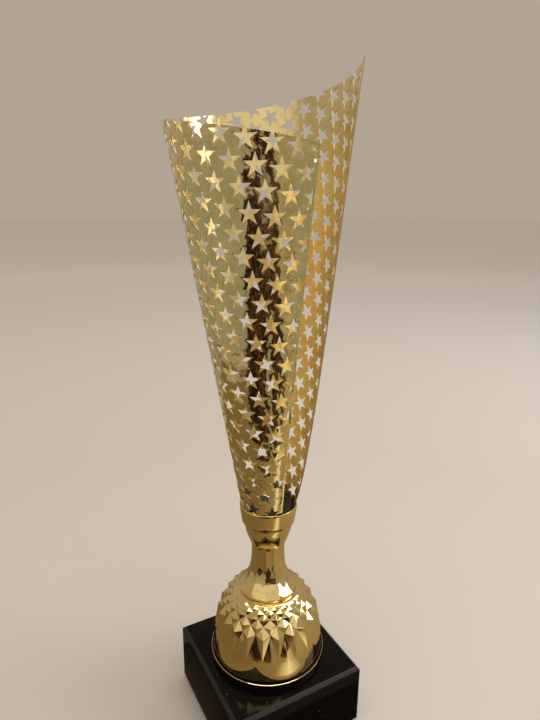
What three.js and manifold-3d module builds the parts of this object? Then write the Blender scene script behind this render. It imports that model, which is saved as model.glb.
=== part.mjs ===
// A column trophy: a black stone plinth, a studded dome foot, a fluted stem, a neck ring and a
// collar, all threaded on one M6 rod that clamps a rolled sheet cup at the top.
// Millimetres, +Z up. The origin is the middle of the pad's underside, on the rod's axis, and the
// plinth's sides face X and Y.
import * as THREE from "three";
import { mergeVertices } from "three/addons/utils/BufferGeometryUtils.js";
import Module from "manifold-3d";

const wasm = await Module();
wasm.setup();

// Clearances and the rod that everything is threaded on
const seam = 0.2; // between two pieces that are clamped face to face
const rodRadius = 3;
const rodHoleRadius = 3.6;
const nutAcrossFlats = 10;
const nutHeight = 5;
const nutHoleRadius = 3.3;
const washerRadius = 7;
const washerHeight = 1.2;
const rodBeyondNut = 1.5;

// Plinth and its pad
const plinthSide = 80;
const plinthTop = 39.5;
const plinthChamfer = 2.4;
const plinthBottomChamfer = 0.6;
const padHeight = 1.5;
const padInset = 2;
const recessRadius = 9.5;
const recessDepth = 11;

// Dome foot, measured up from the plinth's top
const flangeRadius = 33.7;
const flangeHeight = 4.7;
const flangeEdge = 0.5;
const domeWallRadius = 32.4;
const domeHeight = 44.2;
const domeTopRadius = 18.2;
const domeCurveCentre = 16.2; // radius where the centre of the shoulder's ellipse lies
const domeFullness = 0.97; // under 1 squares the shoulder, over 1 slopes it
const domeWall = 2.2;

// Fluted stem
const fluteCount = 12;
const fluteTurn = THREE.MathUtils.degToRad(-5);
const stemFootRadius = 17.3;
const stemFootWall = 1.8; // height of the upright edge under the trumpet's rim
const stemNeckRadius = 9.5;
const stemFlarePower = 3.8;
const stemHeight = 29.2;
const stemWall = 2;

// Neck ring and collar
const neckRingHeight = 13.7;
const neckRingTopRadius = 14.5;
const neckRingWall = 2;
const collarHeight = 11;
const collarFootRadius = 14.9;
const collarLipRadius = 16.1;
const collarFloor = 1.6;

// Cup: a flat sheet rolled into part of a cone, leaning a little in its collar
const cupHalfAngle = THREE.MathUtils.degToRad(8.41);
const cupThickness = 0.8;
const cupRadiusInCollar = 14.3; // outside, where the cone's axis crosses the rod's
const cupCrossingHeight = 132.3;
const cupLean = THREE.MathUtils.degToRad(1.67);
const cupLeanHeading = THREE.MathUtils.degToRad(151);
const cupLipSlant = 104; // level with the collar's lip
const cupFootSlant = 95.6; // slant distances are from the cone's apex
const cupRimLow = 289.4;
const cupRimHigh = 328;
const cupFreeEdgeFoot = 1; // degrees round from -Y towards +X, at the sheet's foot
const cupFreeEdgeTop = 9;
const cupFarEdge = -305;
const cupSpring = 3; // how far the far edge springs out of the cone, low on the cup
const cupSpringReach = 80; // degrees back from the far edge
const socketClearance = 0.35;

// Clamp plug inside the cup's foot
const plugHeight = 9;
const plugClearance = 0.5;

function solidFrom(geometry) {
  const bare = geometry.clone();
  bare.deleteAttribute("normal");
  bare.deleteAttribute("uv");
  const merged = mergeVertices(bare, 1e-4);
  return new wasm.Manifold(
    new wasm.Mesh({
      numProp: 3,
      vertProperties: new Float32Array(merged.attributes.position.array),
      triVerts: new Uint32Array(merged.index.array),
    }),
  );
}

function geometryFrom(solid) {
  const { vertProperties, triVerts } = solid.getMesh();
  const geometry = new THREE.BufferGeometry();
  geometry.setAttribute("position", new THREE.BufferAttribute(vertProperties, 3));
  geometry.setIndex(new THREE.BufferAttribute(triVerts, 1));
  const flat = geometry.toNonIndexed();
  flat.computeVertexNormals();
  return flat;
}

// Turns a list of [radius, height] points about the Z axis.
function turned(profile, segments = 44, start = 0) {
  const points = profile.map(([radius, height]) => new THREE.Vector2(radius, height));
  const geometry = new THREE.LatheGeometry(points, segments, start);
  return geometry.rotateX(Math.PI / 2);
}

// A shell of revolution: the outer points going up, then the inner points coming down.
function shell(outer, inner, segments, start) {
  return turned([...outer, ...inner, outer[0]], segments, start);
}

const trophy = new THREE.Group();
trophy.name = "column_trophy";

const finishes = {
  stone: { color: 0x0b0b0d, roughness: 0.12, metalness: 0 },
  foam: { color: 0x1a1a1b, roughness: 0.95, metalness: 0 },
  gold: { color: 0xd9b65a, roughness: 0.1, metalness: 1 },
  sheet: { color: 0xdcc27a, roughness: 0.08, metalness: 1 },
  plastic: { color: 0x161616, roughness: 0.5, metalness: 0 },
  zinc: { color: 0xb4b6b4, roughness: 0.35, metalness: 1 },
};

function addPiece(name, geometry, finish, parent = trophy) {
  const mesh = new THREE.Mesh(geometry, new THREE.MeshStandardMaterial(finishes[finish]));
  mesh.name = name;
  parent.add(mesh);
  return mesh;
}

// Plinth: a square block with chamfered edges, bored for the rod and recessed for its nut.
function plinthGeometry() {
  const corner = (inset) => (plinthSide / 2 - inset) * Math.SQRT2;
  const block = turned(
    [
      [0, padHeight],
      [corner(plinthBottomChamfer), padHeight],
      [corner(0), padHeight + plinthBottomChamfer],
      [corner(0), plinthTop - plinthChamfer],
      [corner(plinthChamfer), plinthTop],
      [0, plinthTop],
    ],
    4,
    Math.PI / 4,
  );
  const recessTop = padHeight + recessDepth;
  const bore = turned([
    [0, -1],
    [recessRadius, -1],
    [recessRadius, recessTop],
    [rodHoleRadius, recessTop],
    [rodHoleRadius, plinthTop + 1],
    [0, plinthTop + 1],
  ]);
  return geometryFrom(solidFrom(block).subtract(solidFrom(bore)));
}

// Dome foot: a shell with a low flange, a barrel wall and a flat top, open underneath.
function domeGeometry() {
  const base = plinthTop + seam;
  const top = plinthTop + domeHeight;
  const steps = 11;
  const curveFoot = plinthTop + flangeHeight;
  const curveWidth = domeWallRadius - domeCurveCentre;
  const lastAngle = Math.acos((domeTopRadius - domeCurveCentre) / curveWidth);
  const outer = [
    [flangeRadius, base],
    [flangeRadius, curveFoot - flangeEdge],
    [flangeRadius - flangeEdge, curveFoot],
  ];
  const inner = [];
  for (let i = 0; i <= steps; i++) {
    const angle = (i / steps) * lastAngle;
    const radius = domeCurveCentre + curveWidth * Math.cos(angle);
    const height = curveFoot + (top - curveFoot) * Math.sin(angle) ** domeFullness;
    outer.push([radius, height]);
    inner.unshift([radius - domeWall * Math.cos(angle), height - domeWall * Math.sin(angle)]);
  }
  return shell(
    [...outer, [rodHoleRadius, top]],
    [
      [rodHoleRadius, top - domeWall],
      ...inner,
      [domeWallRadius - domeWall, base],
    ],
  );
}

// Fluted stem: a twelve-sided trumpet shell, wide at the foot, with a bored top.
function stemGeometry() {
  const foot = plinthTop + domeHeight + seam;
  const top = foot + stemHeight;
  const steps = 12;
  const outer = [[stemFootRadius - 0.5, foot]];
  for (let i = 0; i <= steps; i++) {
    const share = i / steps;
    const flare = (1 - share) ** stemFlarePower;
    const radius = stemNeckRadius + (stemFootRadius - stemNeckRadius) * flare;
    outer.push([radius, foot + stemFootWall + (stemHeight - stemFootWall) * share]);
  }
  const inner = outer
    .slice(0, -2)
    .map(([radius, height]) => [radius - stemWall, height])
    .reverse();
  const underTop = top - stemWall;
  return shell(
    [...outer, [rodHoleRadius, top]],
    [[rodHoleRadius, underTop], [stemNeckRadius - stemWall, underTop], ...inner],
    fluteCount,
    fluteTurn,
  );
}

// Neck ring: a small bell-shaped cup that widens from the stem to the collar.
function neckRingGeometry() {
  const foot = plinthTop + domeHeight + stemHeight + 2 * seam;
  const steps = 6;
  const outer = [];
  for (let i = 0; i <= steps; i++) {
    const share = i / steps;
    const swell = Math.sin((share * Math.PI) / 2);
    const radius = stemNeckRadius + 0.3 + (neckRingTopRadius - stemNeckRadius - 0.3) * swell;
    outer.push([radius, foot + neckRingHeight * share]);
  }
  const inner = outer
    .slice(2)
    .map(([radius, height]) => [radius - neckRingWall, height])
    .reverse();
  const floorTop = inner[inner.length - 1][1];
  return shell([[rodHoleRadius, foot], ...outer], [...inner, [rodHoleRadius, floorTop]]);
}

// Collar: a socket with a thin lip that the cup's foot drops into.
const collarFoot = plinthTop + domeHeight + stemHeight + neckRingHeight + 3 * seam;
const collarTop = collarFoot + collarHeight;
const cupRadiusAt = (height) =>
  cupRadiusInCollar + (height - cupCrossingHeight) * Math.tan(cupHalfAngle);

function collarGeometry() {
  const floorTop = collarFoot + collarFloor;
  return shell(
    [
      [rodHoleRadius, collarFoot],
      [collarFootRadius - 0.4, collarFoot],
      [collarFootRadius, collarFoot + 0.5],
      [collarFootRadius + 0.8, collarFoot + 5.5],
      [collarLipRadius, collarTop - 0.8],
      [collarLipRadius - 0.15, collarTop],
    ],
    [
      [cupRadiusAt(collarTop) + socketClearance, collarTop],
      [cupRadiusAt(floorTop) + socketClearance, floorTop],
      [rodHoleRadius, floorTop],
    ],
  );
}

// Cup: a box with many slices, whose width becomes the angle round the cone, whose depth becomes
// the thickness and whose height becomes the slant distance. The rim climbs round the sheet.
function cupGeometry() {
  const around = 45;
  const along = 7;
  const box = new THREE.BoxGeometry(1, 1, 1, around, 1, along);
  const place = box.attributes.position;
  const { degToRad, lerp } = THREE.MathUtils;
  for (let i = 0; i < place.count; i++) {
    const width = place.getX(i) + 0.5;
    const height = place.getZ(i) + 0.5;
    const rim = lerp(cupRimHigh, cupRimLow, width);
    const slant = lerp(cupFootSlant, rim, height);
    const freeEdge = lerp(cupFreeEdgeFoot, cupFreeEdgeTop, height);
    const angle = degToRad(lerp(cupFarEdge, freeEdge, width));
    const inside = (place.getY(i) + 0.5) * cupThickness;
    const nearFar = Math.max(0, 1 - (angle - degToRad(cupFarEdge)) / degToRad(cupSpringReach));
    const aboveLip = Math.max(0, (slant - cupLipSlant) / (rim - cupLipSlant));
    const spring = cupSpring * nearFar ** 2 * Math.sin(Math.PI * aboveLip ** 0.5);
    const cone = slant * Math.sin(cupHalfAngle) + spring;
    const radius = cone - inside * Math.cos(cupHalfAngle);
    const rise = slant * Math.cos(cupHalfAngle) + inside * Math.sin(cupHalfAngle);
    place.setXYZ(i, radius * Math.sin(angle), -radius * Math.cos(angle), rise);
  }
  box.computeVertexNormals();
  return box;
}

// Clamp plug: a tapered bung that wedges the sheet's foot against the collar.
const plugFoot = collarFoot + collarFloor + seam;
const plugTop = plugFoot + plugHeight;

function plugGeometry() {
  const radiusAt = (height) => cupRadiusAt(height) - cupThickness - plugClearance;
  return shell(
    [
      [rodHoleRadius, plugFoot],
      [radiusAt(plugFoot) - 0.5, plugFoot],
      [radiusAt(plugFoot + 0.5), plugFoot + 0.5],
      [radiusAt(plugTop - 0.5), plugTop - 0.5],
      [radiusAt(plugTop) - 0.5, plugTop],
    ],
    [[rodHoleRadius, plugTop]],
    40,
  );
}

function washerGeometry(foot) {
  const top = foot + washerHeight;
  return shell(
    [
      [rodHoleRadius, foot],
      [washerRadius, foot],
      [washerRadius, top],
    ],
    [[rodHoleRadius, top]],
    32,
  );
}

function nutGeometry(foot) {
  const outline = new THREE.Shape();
  const cornerRadius = nutAcrossFlats / Math.sqrt(3);
  for (let i = 0; i < 6; i++) {
    const angle = (i * Math.PI) / 3;
    const corner = [cornerRadius * Math.cos(angle), cornerRadius * Math.sin(angle)];
    if (i === 0) outline.moveTo(...corner);
    else outline.lineTo(...corner);
  }
  outline.closePath();
  const hole = new THREE.Path().absarc(0, 0, nutHoleRadius, 0, 2 * Math.PI, true);
  outline.holes.push(hole);
  const options = { depth: nutHeight, bevelEnabled: false, curveSegments: 10 };
  return new THREE.ExtrudeGeometry(outline, options).translate(0, 0, foot);
}

addPiece("plinth_block", plinthGeometry(), "stone");

const padSide = plinthSide - 2 * padInset;
const pad = new THREE.BoxGeometry(padSide, padSide, padHeight - seam);
addPiece("base_pad", pad.translate(0, 0, (padHeight - seam) / 2), "foam");

addPiece("foot_dome", domeGeometry(), "gold");
addPiece("fluted_stem", stemGeometry(), "gold");
addPiece("neck_ring", neckRingGeometry(), "gold");
addPiece("cup_collar", collarGeometry(), "gold");

const cupAxis = new THREE.Group();
const leanAxis = new THREE.Vector3(-Math.sin(cupLeanHeading), Math.cos(cupLeanHeading), 0);
const apexToCrossing = cupRadiusInCollar / Math.tan(cupHalfAngle);
cupAxis.quaternion.setFromAxisAngle(leanAxis, cupLean);
cupAxis.position
  .set(0, 0, -apexToCrossing)
  .applyQuaternion(cupAxis.quaternion)
  .add(new THREE.Vector3(0, 0, cupCrossingHeight));
trophy.add(cupAxis);
addPiece("cup_sheet", cupGeometry(), "sheet", cupAxis);

addPiece("clamp_plug", plugGeometry(), "plastic");

const topWasherFoot = plugTop + seam;
const topNutFoot = topWasherFoot + washerHeight + seam;
addPiece("top_washer", washerGeometry(topWasherFoot), "zinc");
addPiece("top_nut", nutGeometry(topNutFoot), "zinc");

const lowWasherFoot = padHeight + recessDepth - washerHeight - seam;
const lowNutFoot = lowWasherFoot - seam - nutHeight;
addPiece("base_washer", washerGeometry(lowWasherFoot), "zinc");
addPiece("base_nut", nutGeometry(lowNutFoot), "zinc");

const rodFoot = lowNutFoot - rodBeyondNut;
const rodTop = topNutFoot + nutHeight + rodBeyondNut;
const rod = turned(
  [
    [0, rodFoot],
    [rodRadius - 0.6, rodFoot],
    [rodRadius, rodFoot + 0.6],
    [rodRadius, rodTop - 0.6],
    [rodRadius - 0.6, rodTop],
    [0, rodTop],
  ],
  20,
);
addPiece("tie_rod", rod, "zinc");

export default trophy;
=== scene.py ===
from math import atan2, cos, exp, pi, radians, sin, sqrt, tan

import bmesh
import bpy
from mathutils import Matrix, Vector


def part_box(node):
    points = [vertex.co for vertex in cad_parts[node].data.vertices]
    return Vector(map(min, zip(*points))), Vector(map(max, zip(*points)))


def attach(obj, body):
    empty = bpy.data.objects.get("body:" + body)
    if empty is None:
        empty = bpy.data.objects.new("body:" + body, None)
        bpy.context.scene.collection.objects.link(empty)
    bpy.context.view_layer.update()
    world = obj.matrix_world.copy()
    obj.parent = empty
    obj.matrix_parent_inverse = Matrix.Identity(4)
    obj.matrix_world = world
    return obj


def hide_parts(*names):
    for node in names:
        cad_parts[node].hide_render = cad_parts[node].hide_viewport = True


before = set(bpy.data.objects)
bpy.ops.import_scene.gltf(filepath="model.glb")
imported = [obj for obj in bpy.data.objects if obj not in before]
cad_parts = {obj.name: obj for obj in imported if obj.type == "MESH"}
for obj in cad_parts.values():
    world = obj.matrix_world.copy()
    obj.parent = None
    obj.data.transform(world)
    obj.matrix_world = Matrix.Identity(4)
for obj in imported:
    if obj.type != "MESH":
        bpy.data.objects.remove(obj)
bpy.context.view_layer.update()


# ---- Plinth ----
# A square block of polished black stone, sawn, chamfered all round and bored for the rod. The wide
# top chamfer is left as ground, duller than the faces, and its lighter colour is a painted
# reflection of the bright room. The recess for the nut is bored from below.

def box_of(node):
    """Lowest and highest corner of a CAD node, in millimetres."""
    return [corner * 1000 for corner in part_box(node)]


class Reading:
    """A shader socket. Arithmetic on it adds Math nodes."""

    def __init__(self, finish, socket):
        self.finish, self.socket = finish, socket

    def math(self, operation, *terms):
        return self.finish.node("ShaderNodeMath", {"operation": operation}, dict(enumerate(terms)))

    def __add__(self, other):
        return self.math("ADD", self, other)

    def __sub__(self, other):
        return self.math("SUBTRACT", self, other)

    def __rsub__(self, other):
        return self.math("SUBTRACT", other, self)

    def __mul__(self, other):
        return self.math("MULTIPLY", self, other)

    def __truediv__(self, other):
        return self.math("DIVIDE", self, other)

    def __pow__(self, other):
        return self.math("POWER", self, other)

    def __gt__(self, other):
        return self.math("GREATER_THAN", self, other)

    def __lt__(self, other):
        return self.math("LESS_THAN", self, other)

    __radd__ = __add__
    __rmul__ = __mul__


class Finish:
    """One material. Constants are set on the shader's sockets, and what varies is wired in."""

    def __init__(self, name, **constants):
        self.material = bpy.data.materials.new(name)
        self.material.use_nodes = True
        self.tree = self.material.node_tree
        self.shader = self.tree.nodes["Principled BSDF"]
        self.place = self.node("ShaderNodeTexCoord", {}, {}, "Object")
        for socket, value in constants.items():
            self.shader.inputs[socket.replace("_", " ")].default_value = value

    def node(self, kind, settings, sockets, result=0):
        """Adds a node: its settings first, then the value or link of each socket."""
        made = self.tree.nodes.new(kind)
        for name, value in settings.items():
            if name == "stops":
                while len(made.color_ramp.elements) < len(value):
                    made.color_ramp.elements.new(1)
                for stop, (place, colour) in zip(made.color_ramp.elements, value):
                    stop.position, stop.color = place, (*colour, 1)
            else:
                setattr(made, name, value)
        for name, value in sockets.items():
            if isinstance(value, Reading):
                self.tree.links.new(value.socket, made.inputs[name])
            else:
                made.inputs[name].default_value = value
        return Reading(self, made.outputs[result])

    def wire(self, **sockets):
        for name, value in sockets.items():
            self.tree.links.new(value.socket, self.shader.inputs[name.replace("_", " ")])


def soften(bm, width, steeper_than, segments=2, where=lambda edge: True):
    """Rounds every edge that turns by more than that many degrees."""
    bm.normal_update()
    sharp = [edge for edge in bm.edges if len(edge.link_faces) == 2 and where(edge)
             and edge.calc_face_angle() > radians(steeper_than)]
    bmesh.ops.bevel(bm, geom=sharp, offset=width, offset_type="OFFSET", affect="EDGES",
                    segments=segments, profile=0.5, material=-1, clamp_overlap=True)


def finished(bm, name, finish, slot, *stands_for, flat_over=30):
    """Makes a piece of a bmesh that is drawn in millimetres, and puts it in the frame."""
    bmesh.ops.scale(bm, vec=(0.001, 0.001, 0.001), verts=bm.verts)
    mesh = bpy.data.meshes.new(name)
    bm.to_mesh(mesh)
    bm.free()
    mesh.shade_smooth()
    mesh.set_sharp_from_angle(angle=radians(flat_over))
    mesh.materials.append(finish.material)
    piece = bpy.data.objects.new(name, mesh)
    bpy.context.collection.objects.link(piece)
    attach(piece, "root")
    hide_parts(*stands_for)
    return piece


def turned(bm, outline, steps, start=0.0):
    """Turns a closed outline of (radius, height) points about the rod's axis."""
    points = [bm.verts.new((radius * sin(start), -radius * cos(start), height))
              for radius, height in outline]
    edges = [bm.edges.new(pair) for pair in zip(points, points[1:] + points[:1])]
    bmesh.ops.spin(bm, geom=points + edges, cent=(0, 0, 0), axis=(0, 0, 1), angle=2 * pi,
                   steps=steps, use_merge=True)
    bmesh.ops.remove_doubles(bm, verts=bm.verts, dist=1e-4)
    bmesh.ops.recalc_face_normals(bm, faces=bm.faces)
    if bm.calc_volume(signed=True) < 0:
        bmesh.ops.reverse_faces(bm, faces=bm.faces[:])


polished_stone = Finish("polished_black_stone", IOR=1.5, Specular_IOR_Level=0.12)
grain = polished_stone.node("ShaderNodeTexNoise", {}, {"Scale": 1500, "Detail": 6, "Roughness": 0.7,
                                                       "Vector": polished_stone.place})
haze = polished_stone.node("ShaderNodeTexNoise", {}, {"Scale": 45, "Detail": 5, "Roughness": 0.6,
                                                      "Vector": polished_stone.place})
dust_spots = {"Scale": 420, "Vector": polished_stone.place}
dust_size = polished_stone.node("ShaderNodeTexVoronoi", {}, dust_spots)
dust_pick = polished_stone.node("ShaderNodeTexVoronoi", {}, dust_spots, "Color")
dust = (dust_size < 0.085) * (polished_stone.node(
    "ShaderNodeSeparateColor", {}, {"Color": dust_pick}) > 0.86)
streaked = polished_stone.node("ShaderNodeMapping", {}, {
    "Vector": polished_stone.place, "Rotation": (0.4, 0.3, 0.7), "Scale": (60, 3200, 900)})
scratch = polished_stone.node("ShaderNodeTexNoise", {}, {
    "Scale": 1, "Detail": 2, "Vector": streaked}) > 0.74
stone_colour = polished_stone.node("ShaderNodeValToRGB", {"stops": [
    (0.35, (0.0020, 0.0017, 0.0015)), (0.62, (0.0042, 0.0036, 0.003)),
    (0.8, (0.012, 0.0105, 0.009))]}, {"Fac": grain})
dusty_colour = polished_stone.node("ShaderNodeMix", {"data_type": "RGBA"}, {
    0: dust * 0.7, 6: stone_colour, 7: (0.42, 0.40, 0.37, 1)}, 2)
polished_stone.wire(
    Base_Color=dusty_colour,
    Roughness=0.035 + haze ** 3 * 0.35 + scratch * 0.10 + dust * 0.5,
    Normal=polished_stone.node("ShaderNodeBump", {}, {
        "Strength": 0.12, "Distance": 0.00005, "Height": haze * 0.6 - scratch * 0.5}))

# The chamfer's lighter colour is a painted reflection of the bright room; its roughness and tooth
# marks are its own.
chamfer_stone_painted_reflection = Finish("chamfer_with_painted_reflection", IOR=1.5, Specular_IOR_Level=0.3)
tooth_marks = chamfer_stone_painted_reflection.node("ShaderNodeTexNoise", {}, {
    "Scale": 2600, "Detail": 3, "Vector": chamfer_stone_painted_reflection.place})
chamfer_stone_painted_reflection.wire(
    Base_Color=chamfer_stone_painted_reflection.node("ShaderNodeValToRGB", {"stops": [
        (0.3, (0.008, 0.0065, 0.0055)), (0.75, (0.026, 0.022, 0.019))]}, {"Fac": tooth_marks}),
    Roughness=0.3 + tooth_marks * 0.25,
    Normal=chamfer_stone_painted_reflection.node("ShaderNodeBump", {}, {
        "Strength": 0.3, "Distance": 0.00003, "Height": tooth_marks}))

plinth_low, plinth_high = box_of("plinth_block")
plinth_half = plinth_high.x
wide_chamfer, foot_chamfer = 1.9, 0.6
rod_hole, recess_radius, recess_depth = 3.6, 9.5, 11
stone = bmesh.new()
turned(stone, [
    (rod_hole, plinth_high.z), (plinth_half - wide_chamfer, plinth_high.z),
    (plinth_half, plinth_high.z - wide_chamfer), (plinth_half, plinth_low.z + foot_chamfer),
    (plinth_half - foot_chamfer, plinth_low.z), (recess_radius, plinth_low.z),
    (recess_radius, plinth_low.z + recess_depth), (rod_hole, plinth_low.z + recess_depth)], 48)
for vert in stone.verts:
    is_outside = vert.co.xy.length > recess_radius + 1
    if is_outside:
        vert.co.xy *= vert.co.xy.length / max(abs(vert.co.x), abs(vert.co.y))
arris = 0.22
soften(stone, arris, 25, segments=3)
stone.normal_update()
least_slope, steepest_slope = 0.3, 0.9
for face in stone.faces:
    face.material_index = int(least_slope < face.normal.z < steepest_slope)
plinth = finished(stone, "stone_plinth", polished_stone, "black_stone", "plinth_block",
                  flat_over=12)
plinth.data.materials.append(chamfer_stone_painted_reflection.material)


# ---- Base pad ----
# A square of black closed-cell foam, glued under the stone. It hides the recess and keeps the
# stone off the shelf.

foam = Finish("black_foam", Specular_IOR_Level=0.3)
cells = foam.node("ShaderNodeTexVoronoi", {}, {"Scale": 1800, "Vector": foam.place})
foam.wire(
    Base_Color=foam.node("ShaderNodeValToRGB", {"stops": [
        (0.1, (0.009, 0.009, 0.01)), (0.8, (0.03, 0.03, 0.031))]}, {"Fac": cells}),
    Roughness=0.82 + cells * 0.15,
    Normal=foam.node("ShaderNodeBump", {}, {"Strength": 0.6, "Distance": 0.0002, "Height": cells}))

pad_low, pad_high = box_of("base_pad")
pad = bmesh.new()
bmesh.ops.create_cube(pad, size=1)
bmesh.ops.scale(pad, vec=pad_high - pad_low, verts=pad.verts)
bmesh.ops.translate(pad, vec=(pad_low + pad_high) / 2, verts=pad.verts)
pad_edge = 0.25
soften(pad, pad_edge, 60)
finished(pad, "foam_pad", foam, "pad_foam", "base_pad")


# ---- Tie rod, nuts and washers ----
# One zinc-plated M6 threaded rod runs through the whole stack. A nut and a washer in the plinth's
# recess hold it below, and a nut and a washer inside the cup's foot clamp it above.

zinc = Finish("bright_zinc", Metallic=1)
spangle = zinc.node("ShaderNodeTexNoise", {}, {"Scale": 900, "Detail": 4, "Vector": zinc.place})
zinc.wire(
    Base_Color=zinc.node("ShaderNodeValToRGB", {"stops": [
        (0.3, (0.52, 0.53, 0.53)), (0.7, (0.70, 0.71, 0.70))]}, {"Fac": spangle}),
    Roughness=0.22 + spangle * 0.2,
    Normal=zinc.node("ShaderNodeBump", {}, {
        "Strength": 0.2, "Distance": 0.00004, "Height": spangle}))


def washer(node, name):
    """A flat ring with its edges just broken."""
    low, high = box_of(node)
    ring = bmesh.new()
    turned(ring, [(rod_hole, low.z), (high.x, low.z), (high.x, high.z), (rod_hole, high.z)], 48)
    soften(ring, 0.12, 60)
    finished(ring, name, zinc, "zinc_hardware", node)


def hexagon_nut(node, name):
    """The chamfer is a cone, so it cuts the six flats in arcs."""
    low, high = box_of(node)
    corner, flat, thread, mouth, mouth_depth = high.x, high.y, 3.08, 3.35, 0.3
    crown = flat * 0.95
    chamfer_slope = tan(radians(30))
    nut = bmesh.new()
    turned(nut, [(mouth, high.z), (crown, high.z), (flat, high.z), (flat, low.z),
                 (crown, low.z), (mouth, low.z), (thread, low.z + mouth_depth),
                 (thread, high.z - mouth_depth)], 48)
    for vert in nut.verts:
        if vert.co.xy.length > (crown + flat) / 2:
            turn = atan2(vert.co.y, vert.co.x) % (pi / 3) - pi / 6
            reach = min(corner, flat / cos(turn))
            drop = (reach - crown) * chamfer_slope
            vert.co.xy *= reach / flat
            vert.co.z += drop if vert.co.z < (low.z + high.z) / 2 else -drop
    finished(nut, name, zinc, "zinc_hardware", node, flat_over=20)


washer("base_washer", "washer_below")
hexagon_nut("base_nut", "nut_below")
washer("top_washer", "washer_above")
hexagon_nut("top_nut", "nut_above")

rod_low, rod_high = box_of("tie_rod")
thread_crest, thread_root, thread_pitch, thread_steps = 2.96, 2.42, 1.0, 20
spare_turns, end_chamfer = 3, 0.6
rod = bmesh.new()
tooth = [rod.verts.new((radius, 0, share * thread_pitch)) for radius, share in
         ((thread_root, 0), (thread_crest, 0.4), (thread_crest, 0.55), (thread_root, 0.95),
          (thread_root, 1))]
tooth_edges = [rod.edges.new(pair) for pair in zip(tooth, tooth[1:])]
bmesh.ops.spin(rod, geom=tooth + tooth_edges, cent=(0, 0, 0), axis=(0, 0, 1), angle=2 * pi,
               steps=thread_steps, dvec=(0, 0, thread_pitch / thread_steps))
one_turn = bpy.data.meshes.new("one_turn_of_thread")
rod.to_mesh(one_turn)
rod.clear()
for turn in range(int((rod_high.z - rod_low.z) / thread_pitch) + spare_turns):
    rod.from_mesh(one_turn)
    rod.verts.ensure_lookup_table()
    for vert in rod.verts[-len(one_turn.vertices):]:
        vert.co.z += rod_low.z + (turn - spare_turns / 2) * thread_pitch
bmesh.ops.remove_doubles(rod, verts=rod.verts, dist=1e-3)
for height, up in ((rod_low.z, -1), (rod_high.z, 1)):
    cut = bmesh.ops.bisect_plane(rod, geom=rod.verts[:] + rod.edges[:] + rod.faces[:], dist=1e-4,
                                 plane_co=(0, 0, height), plane_no=(0, 0, up), clear_outer=True)
    rim = [part for part in cut["geom_cut"] if isinstance(part, bmesh.types.BMEdge)]
    bmesh.ops.contextual_create(rod, geom=rim)
for vert in rod.verts:
    from_end = min(vert.co.z - rod_low.z, rod_high.z - vert.co.z)
    reach = vert.co.xy.length
    if from_end < end_chamfer and reach > thread_root + from_end:
        vert.co.xy *= (thread_root + from_end) / reach
bmesh.ops.triangulate(rod, faces=[face for face in rod.faces if len(face.verts) > 4])
bmesh.ops.recalc_face_normals(rod, faces=rod.faces)
finished(rod, "threaded_rod", zinc, "zinc_hardware", "tie_rod", flat_over=25)


# ---- Dome foot ----
# A hollow moulding in hard plastic, metallised in mirror-bright pale gold. Its low flange is
# painted black inside and below a bright bead, and so is the foot of the wall: painted shade for
# the dark groove between wall and bead. The shoulder is covered with rows of small pyramids, the
# lowest of which run out in spikes.

mirror_gold = Finish("metallised_gold", Metallic=1, IOR=1.5)
rubbed = mirror_gold.node("ShaderNodeTexNoise", {}, {
    "Scale": 120, "Detail": 5, "Roughness": 0.65, "Vector": mirror_gold.place})
orange_peel = mirror_gold.node("ShaderNodeTexNoise", {}, {
    "Scale": 480, "Detail": 2, "Vector": mirror_gold.place})
specks = mirror_gold.node("ShaderNodeTexVoronoi", {}, {"Scale": 520, "Vector": mirror_gold.place})
speck_dust = (specks < 0.07) * (rubbed > 0.52)
gold_colour = mirror_gold.node("ShaderNodeValToRGB", {"stops": [
    (0.3, (0.80, 0.59, 0.25)), (0.7, (0.88, 0.69, 0.34))]}, {"Fac": rubbed})
mirror_gold.wire(
    Base_Color=mirror_gold.node("ShaderNodeMix", {"data_type": "RGBA"}, {
        0: speck_dust * 0.5, 6: gold_colour, 7: (0.75, 0.70, 0.60, 1)}, 2),
    Roughness=0.035 + rubbed ** 3 * 0.28 + speck_dust * 0.3,
    Normal=mirror_gold.node("ShaderNodeBump", {}, {
        "Strength": 0.10, "Distance": 0.0001, "Height": orange_peel}))

# Black put on the flange and the wall's foot as painted shade for the dark groove between them.
black_painted_shade = Finish("black_painted_shade", IOR=1.5, Specular_IOR_Level=0.3)
flow = black_painted_shade.node("ShaderNodeTexNoise", {}, {
    "Scale": 300, "Detail": 3, "Vector": black_painted_shade.place})
black_painted_shade.wire(
    Base_Color=black_painted_shade.node("ShaderNodeValToRGB", {"stops": [
        (0.3, (0.003, 0.003, 0.003)), (0.7, (0.007, 0.0065, 0.006))]}, {"Fac": flow}),
    Roughness=0.06 + flow * 0.1)

dome_low, dome_high = box_of("foot_dome")
flange_radius, flange_top = dome_high.x, plinth_high.z + 4.7
bead_width, bead_depth, land = 0.35, 0.3, flange_top - 0.4
wall_radius, curve_centre, fullness, dome_wall = 32.4, 16.2, 0.97, 2.2
stud_count, first_stud = 21, radians(-33.6)
shade_painted_wall_foot = 1.2


def dome_point(degrees_up, proud=0.0):
    """Radius and height on the shoulder's ellipse, that far out from it."""
    angle = radians(degrees_up)
    height = flange_top + (dome_high.z - flange_top) * sin(angle) ** fullness
    radius = curve_centre + (wall_radius - curve_centre) * cos(angle)
    return radius + proud * cos(angle), height + proud * sin(angle)


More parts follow.
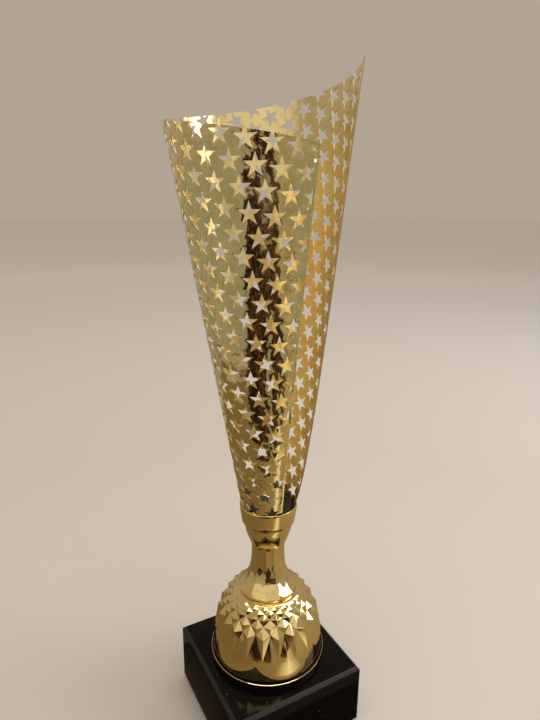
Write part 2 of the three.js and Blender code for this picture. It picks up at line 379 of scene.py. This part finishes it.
# Each row: degrees up of its peaks and how proud they are, then of the valleys between them.
stud_rows = [
    (39.0, 0.8, 44.0, -1.8), (50, 0.5, 53.5, -1.4), (59.5, 0.4, 62.5, -1.1),
    (67.5, 0.35, 70, -1.0), (74.0, 0.3, 76.0, -0.8),
]
spike_tip, shoulder_ends = 19.8, (80.5, 86.0)
outline = [(flange_radius, dome_low.z), (flange_radius, flange_top - 0.6),
           (flange_radius, flange_top - 0.35), (flange_radius - 0.1, flange_top - 0.1),
           (flange_radius - 0.3, flange_top), (flange_radius - 0.5, flange_top - 0.1),
           (flange_radius - 0.6, land), (wall_radius + 0.05, land),
           (wall_radius, land + 0.2), (wall_radius, flange_top + shade_painted_wall_foot)]
outline += [dome_point(up) for up in (5, 12)]
tip_row = len(outline)
outline += [dome_point(spike_tip)] + [dome_point(row[0]) for row in stud_rows]
outline += [dome_point(up) for up in shoulder_ends]
outline += [(rod_hole, dome_high.z), (rod_hole, dome_high.z - dome_wall)]
outline += [(radius - dome_wall * cos(radians(up)), height - dome_wall * sin(radians(up)))
            for up in (85, 70, 55, 40, 25, 10) for radius, height in [dome_point(up)]]
outline += [(wall_radius - dome_wall, dome_low.z)]

dome = bmesh.new()
row_of = dome.verts.layers.int.new("row")
column_angle = pi / stud_count
profile = [dome.verts.new((radius * sin(first_stud), -radius * cos(first_stud), height))
           for radius, height in outline]
for i, vert in enumerate(profile):
    vert[row_of] = max(0, i - tip_row + 1) if i <= tip_row + len(stud_rows) + 1 else 0
profile_edges = [dome.edges.new(pair) for pair in zip(profile, profile[1:] + profile[:1])]
bmesh.ops.spin(dome, geom=profile + profile_edges, cent=(0, 0, 0), axis=(0, 0, 1), angle=2 * pi,
               steps=2 * stud_count, use_merge=True)
bmesh.ops.remove_doubles(dome, verts=dome.verts, dist=1e-4)
bmesh.ops.recalc_face_normals(dome, faces=dome.faces)
valleys = []
for vert in dome.verts:
    row = vert[row_of]
    if not row:
        continue
    turn = atan2(vert.co.x, -vert.co.y)
    column = round((turn - first_stud) / column_angle)
    is_valley = (column + row) % 2 == 1
    if is_valley:
        valleys.append(vert)
    if 2 <= row < 2 + len(stud_rows):
        peak_up, peak_proud, valley_up, valley_proud = stud_rows[row - 2]
        up, proud = (valley_up, valley_proud) if is_valley else (peak_up, peak_proud)
        radius, height = dome_point(up, proud)
        vert.co = (radius * sin(turn), -radius * cos(turn), height)
bmesh.ops.connect_verts(dome, verts=valleys)
soften(dome, 0.16, 7, where=lambda edge: (
    all(vert[row_of] for vert in edge.verts) and sum(vert[row_of] for vert in edge.verts) > 2))
# The flange below its bead and the lowest strip of the wall get the black painted shade.
for face in dome.faces:
    middle = face.calc_center_median()
    reach = middle.xy.length
    on_flange = reach > wall_radius and (
        middle.z - flange_top < -bead_depth or reach < flange_radius - bead_width)
    on_wall_foot = (
        abs(reach - wall_radius) < 0.1 and middle.z < flange_top + shade_painted_wall_foot)
    face.material_index = int(on_flange or on_wall_foot)
dome_foot = finished(dome, "studded_dome", mirror_gold, "gold_moulding", "foot_dome",
                     flat_over=17)
dome_foot.data.materials.append(black_painted_shade.material)


# ---- Fluted stem ----
# A trumpet moulding with twelve hollowed flutes and crisp edges, in the same metallised plastic. It
# stands on the dome on a short upright edge and narrows to a neck.

stem_low, stem_high = box_of("fluted_stem")
flute_count, columns_per_flute = 12, 4
flute_edge = radians(-5)
stem_foot, stem_foot_wall, stem_neck, flare_power, stem_wall = 17.3, 1.8, 9.5, 3.8, 2.0
flute_hollow, fluted_at_foot, fully_fluted_at = 0.02, 0.35, 12
stem_outline = [(stem_foot - 0.5, stem_low.z),
                (stem_foot - 0.15, stem_low.z + stem_foot_wall - 0.3)]
flare_steps = 16
for i in range(flare_steps + 1):
    share = i / flare_steps
    stem_outline.append((
        stem_neck + (stem_foot - stem_neck) * (1 - share) ** flare_power,
        stem_low.z + stem_foot_wall + (stem_high.z - stem_low.z - stem_foot_wall) * share))
inside = [(radius - stem_wall, height) for radius, height in stem_outline[-3::-1]]
stem_outline += [(rod_hole, stem_high.z), (rod_hole, stem_high.z - stem_wall),
                 (stem_neck - stem_wall, stem_high.z - stem_wall)] + inside
stem = bmesh.new()
turned(stem, stem_outline, flute_count * columns_per_flute, flute_edge)
flute_width = 2 * pi / flute_count
for vert in stem.verts:
    if vert.co.xy.length > rod_hole + 0.5:
        turn = atan2(vert.co.x, -vert.co.y) - flute_edge
        off_middle = turn % flute_width - flute_width / 2
        flatness = cos(flute_width / 2) / cos(off_middle)
        hollow = flute_hollow * (1 - (2 * off_middle / flute_width) ** 2)
        fluting = min(1, fluted_at_foot + (vert.co.z - stem_low.z) / fully_fluted_at)
        vert.co.xy *= 1 - fluting * (1 - flatness + hollow)
soften(stem, 0.14, 22, where=lambda edge: min(v.co.xy.length for v in edge.verts) > 6)
finished(stem, "fluted_trumpet", mirror_gold, "gold_moulding", "fluted_stem", flat_over=24)


# ---- Neck ring ----
# A small bell-shaped moulding that joins the narrow neck to the wide collar.

neck_low, neck_high = box_of("neck_ring")
neck_foot, neck_top, neck_wall = 9.8, neck_high.x - 0.7, 2.0
bell_steps, roundness = 10, 0.6
bell = []
for i in range(bell_steps + 1):
    share = i / bell_steps
    swell = share * (1 - roundness) + sin(share * pi / 2) * roundness
    bell.append((neck_foot + (neck_top - neck_foot) * swell,
                 neck_low.z + (neck_high.z - neck_low.z) * share))
neck_floor = bell[2][1]
inside = [(radius - neck_wall, height) for radius, height in bell[:2:-1]]
neck = bmesh.new()
turned(neck, [(rod_hole, neck_low.z)] + bell + inside + [(rod_hole, neck_floor)], 72)
soften(neck, 0.3, 40)
finished(neck, "bell_ring", mirror_gold, "gold_moulding", "neck_ring", flat_over=35)


# ---- Collar ----
# A turned-looking moulded socket. Its lip stands round the foot of the sheet, and the groove below
# it is the joint with the neck ring.

collar_low, collar_high = box_of("cup_collar")
cup_half_angle = radians(8.41)
cup_radius_in_collar, cup_crossing, socket_clearance, collar_floor = 14.3, 132.3, 0.35, 1.6
collar_foot, collar_lip, mouth_chamfer = 14.9, collar_high.x, 0.05


def cup_radius_at(height):
    """Outside radius of the cup's foot at a height on the rod's axis."""
    return cup_radius_in_collar + (height - cup_crossing) * tan(cup_half_angle)


floor_top = collar_low.z + collar_floor
collar = bmesh.new()
turned(collar, [
    (rod_hole, collar_low.z), (collar_foot - 0.4, collar_low.z), (collar_foot, collar_low.z + 0.5),
    (collar_foot + 0.35, collar_low.z + 3.0), (collar_foot + 0.8, collar_low.z + 6.2),
    (collar_lip, collar_high.z - 1.2), (collar_lip, collar_high.z - 0.5),
    (collar_lip - 0.2, collar_high.z - 0.1), (collar_lip - 0.45, collar_high.z),
    (cup_radius_at(collar_high.z) + socket_clearance + mouth_chamfer, collar_high.z),
    (cup_radius_at(collar_high.z) + socket_clearance, collar_high.z - 0.25),
    (cup_radius_at(floor_top) + socket_clearance, floor_top), (rod_hole, floor_top)], 72)
finished(collar, "lipped_collar", mirror_gold, "gold_moulding", "cup_collar", flat_over=35)


# ---- Clamp plug ----
# A tapered bung in black plastic. The top nut draws it down, and it wedges the foot of the sheet
# against the collar.

black_plastic = Finish("black_moulded_plastic", IOR=1.49, Specular_IOR_Level=0.25)
texture = black_plastic.node("ShaderNodeTexNoise", {}, {
    "Scale": 2200, "Detail": 3, "Vector": black_plastic.place})
black_plastic.wire(
    Base_Color=black_plastic.node("ShaderNodeValToRGB", {"stops": [
        (0.3, (0.005, 0.005, 0.005)), (0.75, (0.014, 0.014, 0.014))]}, {"Fac": texture}),
    Roughness=0.38 + texture * 0.2,
    Normal=black_plastic.node("ShaderNodeBump", {}, {
        "Strength": 0.35, "Distance": 0.0001, "Height": texture}))

plug_low, plug_high = box_of("clamp_plug")
gauge_allowed, plug_clearance = 0.8, 0.5
groove, groove_half, groove_depth = 8.0, 0.4, 0.3
foot_lead, crown_lead = 0.5, 0.6


def plug_radius(height):
    """Radius of the bung where it bears on the inside of the sheet."""
    return cup_radius_at(height) - gauge_allowed - plug_clearance


plug = bmesh.new()
turned(plug, [
    (rod_hole, plug_low.z), (plug_radius(plug_low.z) - foot_lead, plug_low.z),
    (plug_radius(plug_low.z + foot_lead), plug_low.z + foot_lead),
    (plug_radius(plug_high.z - crown_lead), plug_high.z - crown_lead),
    (plug_radius(plug_high.z) - crown_lead, plug_high.z), (groove + groove_half, plug_high.z),
    (groove, plug_high.z - groove_depth), (groove - groove_half, plug_high.z),
    (rod_hole, plug_high.z)], 64)
soften(plug, 0.12, 25)
finished(plug, "tapered_bung", black_plastic, "black_plastic", "clamp_plug")


# ---- Cup ----
# One thin sheet of gold anodised aluminium, mirror-bright outside and satin inside, punched all
# over with stars, cut to a slanting top and rolled into an open cone. The rim cuts through the
# stars, a narrow plain margin borders each side, and every cut edge is rough.

gold_sheet = Finish("anodised_gold_sheet", Metallic=1)
wiped = gold_sheet.node("ShaderNodeTexNoise", {}, {
    "Scale": 70, "Detail": 5, "Roughness": 0.6, "Vector": gold_sheet.place})
dents = gold_sheet.node("ShaderNodeTexNoise", {}, {
    "Scale": 130, "Detail": 2, "Vector": gold_sheet.place})
sheet_specks = gold_sheet.node("ShaderNodeTexVoronoi", {}, {
    "Scale": 480, "Vector": gold_sheet.place})
sheet_dust = (sheet_specks < 0.06) * (wiped > 0.55)
sheet_colour = gold_sheet.node("ShaderNodeValToRGB", {"stops": [
    (0.3, (0.79, 0.625, 0.30)), (0.7, (0.87, 0.72, 0.385))]}, {"Fac": wiped})
gold_sheet.wire(
    Base_Color=gold_sheet.node("ShaderNodeMix", {"data_type": "RGBA"}, {
        0: sheet_dust * 0.5, 6: sheet_colour, 7: (0.8, 0.76, 0.68, 1)}, 2),
    Roughness=0.04 + wiped ** 3 * 0.3 + sheet_dust * 0.3,
    Normal=gold_sheet.node("ShaderNodeBump", {}, {
        "Strength": 0.42, "Distance": 0.0006, "Height": dents}))

satin_gold = Finish("satin_gold_inside", Metallic=1)
brushing = satin_gold.node("ShaderNodeTexNoise", {}, {
    "Scale": 900, "Detail": 3, "Vector": satin_gold.place})
patches = satin_gold.node("ShaderNodeTexNoise", {}, {
    "Scale": 60, "Detail": 4, "Vector": satin_gold.place})
satin_gold.wire(
    Base_Color=satin_gold.node("ShaderNodeValToRGB", {"stops": [
        (0.3, (0.78, 0.62, 0.29)), (0.7, (0.87, 0.72, 0.38))]}, {"Fac": patches}),
    Roughness=0.24 + patches * 0.12,
    Normal=satin_gold.node("ShaderNodeBump", {}, {
        "Strength": 0.15, "Distance": 0.00004, "Height": brushing}))

sheared_edge = Finish("sheared_gold_edge", Metallic=1)
shearing = sheared_edge.node("ShaderNodeTexNoise", {}, {
    "Scale": 1600, "Detail": 3, "Vector": sheared_edge.place})
sheared_edge.wire(
    Base_Color=sheared_edge.node("ShaderNodeValToRGB", {"stops": [
        (0.3, (0.50, 0.39, 0.18)), (0.7, (0.70, 0.57, 0.29))]}, {"Fac": shearing}),
    Roughness=0.5 + shearing * 0.2)

# The pattern, on the flat sheet: x across and y along the slant, from the cone's apex. The punch
# presses a shallow dish into the sheet round each star.
star_pitch, star_reach, star_waist = 11.13, 5.35, 2.05
row_turn, pattern_turn = radians(-9.8), radians(28.9)
first_star = Vector((6.07, 289.58, 0))
press_depth, press_width = 0.18, 1.0
seen_gauge, margin, weld = 0.45, 0.65, 0.02
foot_slant, lip_slant, rim_low, rim_high = 95.6, 104.0, 289.4, 328.0
free_edge_foot, free_edge_top, far_edge = radians(1), radians(9), radians(-305)
spring_out, spring_reach = 3.0, radians(80)
flat_share = sin(cup_half_angle)
along_row = Vector((cos(row_turn), sin(row_turn), 0)) * star_pitch
up_row = Vector((cos(row_turn + pi / 3), sin(row_turn + pi / 3), 0)) * star_pitch


def rim_slant(round_angle):
    """How far up the slant the rim is, at an angle round the cone."""
    share = (round_angle - far_edge) / (free_edge_top - far_edge)
    return rim_high + (rim_low - rim_high) * share


def star_outline(reach, waist):
    """Ten corners of a star, with its first point up the slant."""
    return [Vector((sin(i * pi / 5), cos(i * pi / 5), 0)) * (waist if i % 2 else reach)
            for i in range(10)]


punched = star_outline(star_reach, star_waist)


def to_stars(point):
    """Distance from a point of the cell to the nearest star's outline, its neighbours included."""
    nearest = star_pitch
    for shift in (Vector(), along_row, up_row, up_row - along_row,
                  -along_row, -up_row, along_row - up_row):
        for a, b in zip(punched, punched[1:] + punched[:1]):
            start, side = a + shift, b - a
            share = min(1, max(0, (point - start).dot(side) / side.length_squared))
            nearest = min(nearest, (point - start - side * share).length)
    return nearest


def closed_line(points, cuts):
    """Adds a closed line to the sheet, with each of its sides cut into steps."""
    steps = [a.lerp(b, step / (cuts + 1)) for a, b in zip(points, points[1:] + points[:1])
             for step in range(cuts + 1)]
    verts = [sheet.verts.new(step) for step in steps]
    return [sheet.edges.new(pair) for pair in zip(verts, verts[1:] + verts[:1])]


sheet = bmesh.new()
cell_corners = [Vector((sin(i * pi / 3 - row_turn), cos(i * pi / 3 - row_turn), 0))
                * star_pitch / sqrt(3) for i in range(6)]
cell_rim = closed_line(cell_corners, 3)
dished_rim = closed_line(star_outline(star_reach + 0.1, star_waist + 0.55), 1)
star_rim = closed_line(punched, 1)
bmesh.ops.bridge_loops(sheet, edges=star_rim + dished_rim)
bmesh.ops.triangle_fill(sheet, edges=cell_rim + dished_rim, use_beauty=True, normal=(0, 0, 1))
for vert in sheet.verts:
    vert.co.z = -press_depth * exp(-(to_stars(vert.co.copy()) / press_width) ** 2)
bmesh.ops.recalc_face_normals(sheet, faces=sheet.faces)
if sum(face.normal.z for face in sheet.faces) < 0:
    bmesh.ops.reverse_faces(sheet, faces=sheet.faces[:])

cell = bpy.data.meshes.new("star_cell")
sheet.to_mesh(cell)
sheet.clear()


def on_sheet(centre):
    """Whether a star there, or part of it, falls on the sheet."""
    slant, slack = centre.length, 1.2 * star_pitch
    round_angle = atan2(centre.x, centre.y) / flat_share - pattern_turn
    turn_slack = slack / (slant * flat_share)
    return (foot_slant - slack < slant < rim_slant(round_angle) + slack
            and far_edge - turn_slack < round_angle < free_edge_top + turn_slack)


lattice = range(-45, 46)
for i in lattice:
    for j in lattice:
        centre = first_star + along_row * i + up_row * j
        if on_sheet(centre):
            sheet.from_mesh(cell)
            sheet.verts.ensure_lookup_table()
            for vert in sheet.verts[-len(cell.vertices):]:
                vert.co += centre
bmesh.ops.remove_doubles(sheet, verts=sheet.verts, dist=weld)

# Unrolled: the angle round the cone across, in thirtieths of a radian, and the slant up. All four
# edges of the sheet are straight lines there.
unroll = 30
for vert in sheet.verts:
    turn = atan2(vert.co.x, vert.co.y) / flat_share - pattern_turn
    vert.co.x, vert.co.y = turn * unroll, vert.co.xy.length


def cut_away(start, end, side):
    """Cuts the sheet along a line and returns the new vertices. Side 1 clears the line's left."""
    along = (end - start).normalized()
    cut = bmesh.ops.bisect_plane(
        sheet, geom=sheet.verts[:] + sheet.edges[:] + sheet.faces[:], dist=1e-3, plane_co=start,
        plane_no=Vector((-along.y, along.x, 0)) * side, clear_outer=True)
    return [part for part in cut["geom_cut"] if isinstance(part, bmesh.types.BMVert)]


def bordered(foot_angle, top_angle, top_slant, side):
    """Cuts a side short and closes the cut stars with a narrow plain margin."""
    foot_inset, top_inset = (margin / (slant * flat_share) for slant in (foot_slant, top_slant))
    line = [Vector(((angle + side * inset) * unroll, slant, 0)) for angle, inset, slant in (
        (foot_angle, foot_inset, foot_slant), (top_angle, top_inset, top_slant))]
    chain = sorted(cut_away(*line, side), key=lambda vert: vert.co.y)
    edges = [sheet.edges.get(pair) or sheet.edges.new(pair) for pair in zip(chain, chain[1:])]
    grown = bmesh.ops.extrude_edge_only(sheet, edges=edges)["geom"]
    for vert in grown:
        if isinstance(vert, bmesh.types.BMVert):
            share = (vert.co.y - foot_slant) / (top_slant - foot_slant)
            vert.co.x = (foot_angle + (top_angle - foot_angle) * share) * unroll
            vert.co.z = 0


bordered(far_edge, far_edge, rim_high, 1)
bordered(free_edge_foot, free_edge_top, rim_low, -1)
cut_away(Vector((far_edge * unroll, rim_high, 0)), Vector((free_edge_top * unroll, rim_low, 0)), 1)
cut_away(Vector((far_edge * unroll, foot_slant, 0)),
         Vector((free_edge_top * unroll, foot_slant, 0)), -1)
bmesh.ops.dissolve_degenerate(sheet, dist=weld, edges=sheet.edges)
bmesh.ops.delete(sheet, geom=[edge for edge in sheet.edges if edge.is_wire], context="EDGES")
bmesh.ops.recalc_face_normals(sheet, faces=sheet.faces)
inner = bmesh.ops.extrude_face_region(sheet, geom=sheet.faces[:], use_keep_orig=True)["geom"]
for vert in inner:
    if isinstance(vert, bmesh.types.BMVert):
        vert.co.z -= seen_gauge
a_little = 0.05
for face in sheet.faces:
    heights = [vert.co.z for vert in face.verts]
    is_inside = min(heights) < -press_depth - a_little
    is_cut = is_inside and max(heights) - min(heights) > seen_gauge - a_little
    face.material_index = is_inside + is_cut
bmesh.ops.recalc_face_normals(sheet, faces=sheet.faces)

for vert in sheet.verts:
    round_angle, slant, outwards = vert.co.x / unroll, vert.co.y, vert.co.z
    near_far = max(0, 1 - (round_angle - far_edge) / spring_reach)
    above_lip = max(0, (slant - lip_slant) / (rim_slant(round_angle) - lip_slant))
    spring = spring_out * near_far ** 2 * sin(pi * min(1, above_lip) ** 0.5)
    radius = slant * sin(cup_half_angle) + spring + outwards * cos(cup_half_angle)
    vert.co = (radius * sin(round_angle), -radius * cos(round_angle),
               slant * cos(cup_half_angle) - outwards * sin(cup_half_angle))

lean, lean_heading = radians(1.67), radians(151)
lean_turn = Matrix.Rotation(lean, 4, Vector((-sin(lean_heading), cos(lean_heading), 0)))
apex_below = cup_radius_in_collar / tan(cup_half_angle)
bmesh.ops.transform(sheet, verts=sheet.verts, matrix=(
    Matrix.Translation((0, 0, cup_crossing)) @ lean_turn @ Matrix.Translation((0, 0, -apex_below))))
cup = finished(sheet, "starred_cup", gold_sheet, "gold_sheet", "cup_sheet", flat_over=40)
cup.data.materials.append(satin_gold.material)
cup.data.materials.append(sheared_edge.material)


# ---- Studio ----
# A pale floor, painted lighter with distance, a soft light overhead and a soft window light at the
# right. Glowing boards that show only in reflections paint in the room as painted reflections: what
# the mirror finishes would see of a table, a lit strip of it, someone in dark clothes and a bright
# wall, with painted shade round the plinth.

camera_heading = radians(28.88)
ahead = Vector((sin(camera_heading), cos(camera_heading), 0))
sideways = Vector((cos(camera_heading), -sin(camera_heading), 0))


def board(name, centre, facing, width, height, paint, only_reflected=True, turned_by=0):
    """A flat board of that width and height whose front faces a point, in metres."""
    bm = bmesh.new()
    bmesh.ops.create_grid(bm, x_segments=1, y_segments=1, size=0.5)
    bmesh.ops.scale(bm, vec=(width, height, 1), verts=bm.verts)
    turn = (Vector(facing) - Vector(centre)).to_track_quat("Z", "Y").to_matrix().to_4x4()
    bmesh.ops.transform(bm, verts=bm.verts, matrix=(
        Matrix.Translation(centre) @ turn @ Matrix.Rotation(turned_by, 4, "Z")))
    mesh = bpy.data.meshes.new(name)
    bm.to_mesh(mesh)
    bm.free()
    mesh.materials.append(paint.material)
    made = bpy.data.objects.new(name, mesh)
    bpy.context.collection.objects.link(made)
    made.visible_camera = made.visible_diffuse = made.visible_shadow = not only_reflected


def glowing(name, stops, pattern_scale=0.0, across=None):
    """A paint that only glows, in soft patches or, where across is given, blended that way."""
    paint = Finish(name, Base_Color=(0, 0, 0, 1), Roughness=1.0, Specular_IOR_Level=0.0,
                   Emission_Strength=1)
    if across is not None:
        along = paint.node("ShaderNodeVectorMath", {"operation": "DOT_PRODUCT"}, {
            0: paint.place, 1: across}, "Value") + 0.5
    else:
        along = paint.node("ShaderNodeTexNoise", {}, {
            "Scale": pattern_scale, "Detail": 1.5, "Vector": paint.place})
    paint.wire(Emission_Color=paint.node("ShaderNodeValToRGB", {"stops": stops}, {"Fac": along}))
    return paint


# The floor is painted lighter with distance from the trophy: painted light that makes up for the
# lamps' fall-off, so the far floor meets the world's colour.
pale = Finish("pale_floor", Roughness=0.85, Specular_IOR_Level=0)
far_off = pale.node("ShaderNodeVectorMath", {"operation": "LENGTH"}, {0: pale.place}, "Value")
painted_brightening_reach = 2.5
pale.wire(Base_Color=pale.node("ShaderNodeValToRGB", {"stops": [
    (0.15, (0.62, 0.575, 0.52)), (0.9, (0.96, 0.96, 0.96))]}, {"Fac": far_off / painted_brightening_reach}))

# What lies flat is stacked a tenth of a millimetre apart, and the topmost is still under the pad.
upwards, layer = Vector((0, 0, 1)), 0.0001
floor_side, ground_side, table_side, contact_shade_side = 30, 6, 0.72, 0.135
board("floor", upwards * layer * -5, upwards, floor_side, floor_side, pale, only_reflected=False)
board("grey_ground", upwards * layer * -4, upwards, ground_side, ground_side, glowing("grey_glow", [
    (0.4, (0.31, 0.30, 0.24)), (0.6, (0.37, 0.36, 0.29))], 3))
board("warm_tabletop", upwards * layer * -3, upwards, table_side, table_side, glowing("warm_glow", [
    (0.40, (0.21, 0.15, 0.075)), (0.56, (0.33, 0.245, 0.13)), (0.72, (0.42, 0.33, 0.19))],
    across=sideways))
# A dark glowing square round the plinth, seen only in reflections, is painted shade: the contact
# shadow round the plinth's foot.
board("reflected_contact_shade", upwards * layer * -2, upwards, contact_shade_side, contact_shade_side, glowing("contact_shade_glow", [
    (0.4, (0.05, 0.033, 0.018)), (0.6, (0.07, 0.046, 0.026))], 20))

strip_along = (sideways * 0.62 - ahead * 0.78).normalized()
strip_off, strip_length, strip_width, strip_sharpness = 0.215, 0.26, 0.08, 5
strip_middle = strip_along * strip_off - upwards * layer
board("lit_strip", strip_middle, strip_middle + upwards, strip_length, strip_width, glowing(
    "strip_glow", [
        (0.30, (0.29, 0.22, 0.12)), (0.50, (1.0, 0.92, 0.68)), (0.70, (0.33, 0.25, 0.13))],
    across=strip_along.cross(upwards) * strip_sharpness),
    turned_by=atan2(strip_along.y, strip_along.x))

# Two boards side by side, which lean away from the trophy under and behind the camera.
cloth_foot, cloth_top = ahead * -0.2, upwards * 0.27 - ahead * 0.75
cloth_middle = (cloth_foot + cloth_top) / 2 + sideways * 0.02
cloth_front = (cloth_top - cloth_foot).cross(sideways).normalized()
cloth_height, cloth_width = (cloth_top - cloth_foot).length, 0.42
board("dark_cloth", cloth_middle, cloth_middle + cloth_front, cloth_width, cloth_height, glowing(
    "dark_glow", [
        (0.34, (0.30, 0.27, 0.19)), (0.38, (0.006, 0.005, 0.005)), (0.46, (0.03, 0.018, 0.011)),
        (0.50, (0.15, 0.06, 0.04)), (0.54, (0.012, 0.01, 0.01)), (0.60, (0.05, 0.03, 0.02)),
        (0.64, (0.42, 0.36, 0.24))], 7))
patch_width = 0.24
patch_middle = cloth_middle + sideways * (cloth_width + patch_width) / 2
board("patchwork", patch_middle, patch_middle + cloth_front, patch_width, cloth_height, glowing(
    "patch_glow", [
        (0.40, (0.42, 0.36, 0.24)), (0.45, (0.10, 0.055, 0.03)), (0.50, (0.75, 0.65, 0.42)),
        (0.54, (0.02, 0.015, 0.012)), (0.60, (0.45, 0.40, 0.30))], 13))
board("bright_wall", upwards * 1.05 - ahead * 1.2, upwards * 0.6, 2.6, 1.2, glowing(
    "bright_glow", [(0.3, (0.72, 0.66, 0.54)), (0.7, (0.9, 0.84, 0.72))], 2))

world = bpy.data.worlds.new("studio")
bpy.context.scene.world = world
world.use_nodes = True
warm_air = world.node_tree.nodes["Background"]
warm_air.inputs["Color"].default_value = (0.87, 0.745, 0.60, 1)
warm_air.inputs["Strength"].default_value = 0.5

mid_height = upwards * 0.16


def soft_light(name, place, width, height, power, colour):
    """A rectangular light, in metres and watts, turned to the middle of the trophy."""
    lamp = bpy.data.lights.new(name, "AREA")
    lamp.shape, lamp.size, lamp.size_y = "RECTANGLE", width, height
    lamp.energy, lamp.color = power, colour
    made = bpy.data.objects.new(name, lamp)
    made.location = place
    made.rotation_euler = (mid_height - Vector(place)).to_track_quat("-Z", "Y").to_euler()
    bpy.context.collection.objects.link(made)


soft_light("overhead", (0.1, -0.1, 1.5), 1.1, 1.1, 12, (1, 0.97, 0.93))
soft_light("window", (1.1, -0.7, 0.75), 0.75, 1.0, 10, (0.93, 0.96, 1))
bpy.context.scene.view_settings.view_transform = "Standard"

camera = bpy.data.objects.new("camera", bpy.data.cameras.new("camera"))
bpy.context.collection.objects.link(camera)
bpy.context.scene.camera = camera
camera.data.lens, camera.data.sensor_width = 27.05, 36
camera_place, pitch, roll = (-0.1308, -0.2376, 0.2969), radians(15.70), radians(0.49)
forward = ahead * cos(pitch) - upwards * sin(pitch)
right = sideways * cos(roll) + sideways.cross(forward) * sin(roll)
camera_axes = Matrix((right, right.cross(forward), -forward)).transposed().to_4x4()
camera.matrix_world = Matrix.Translation(camera_place) @ camera_axes
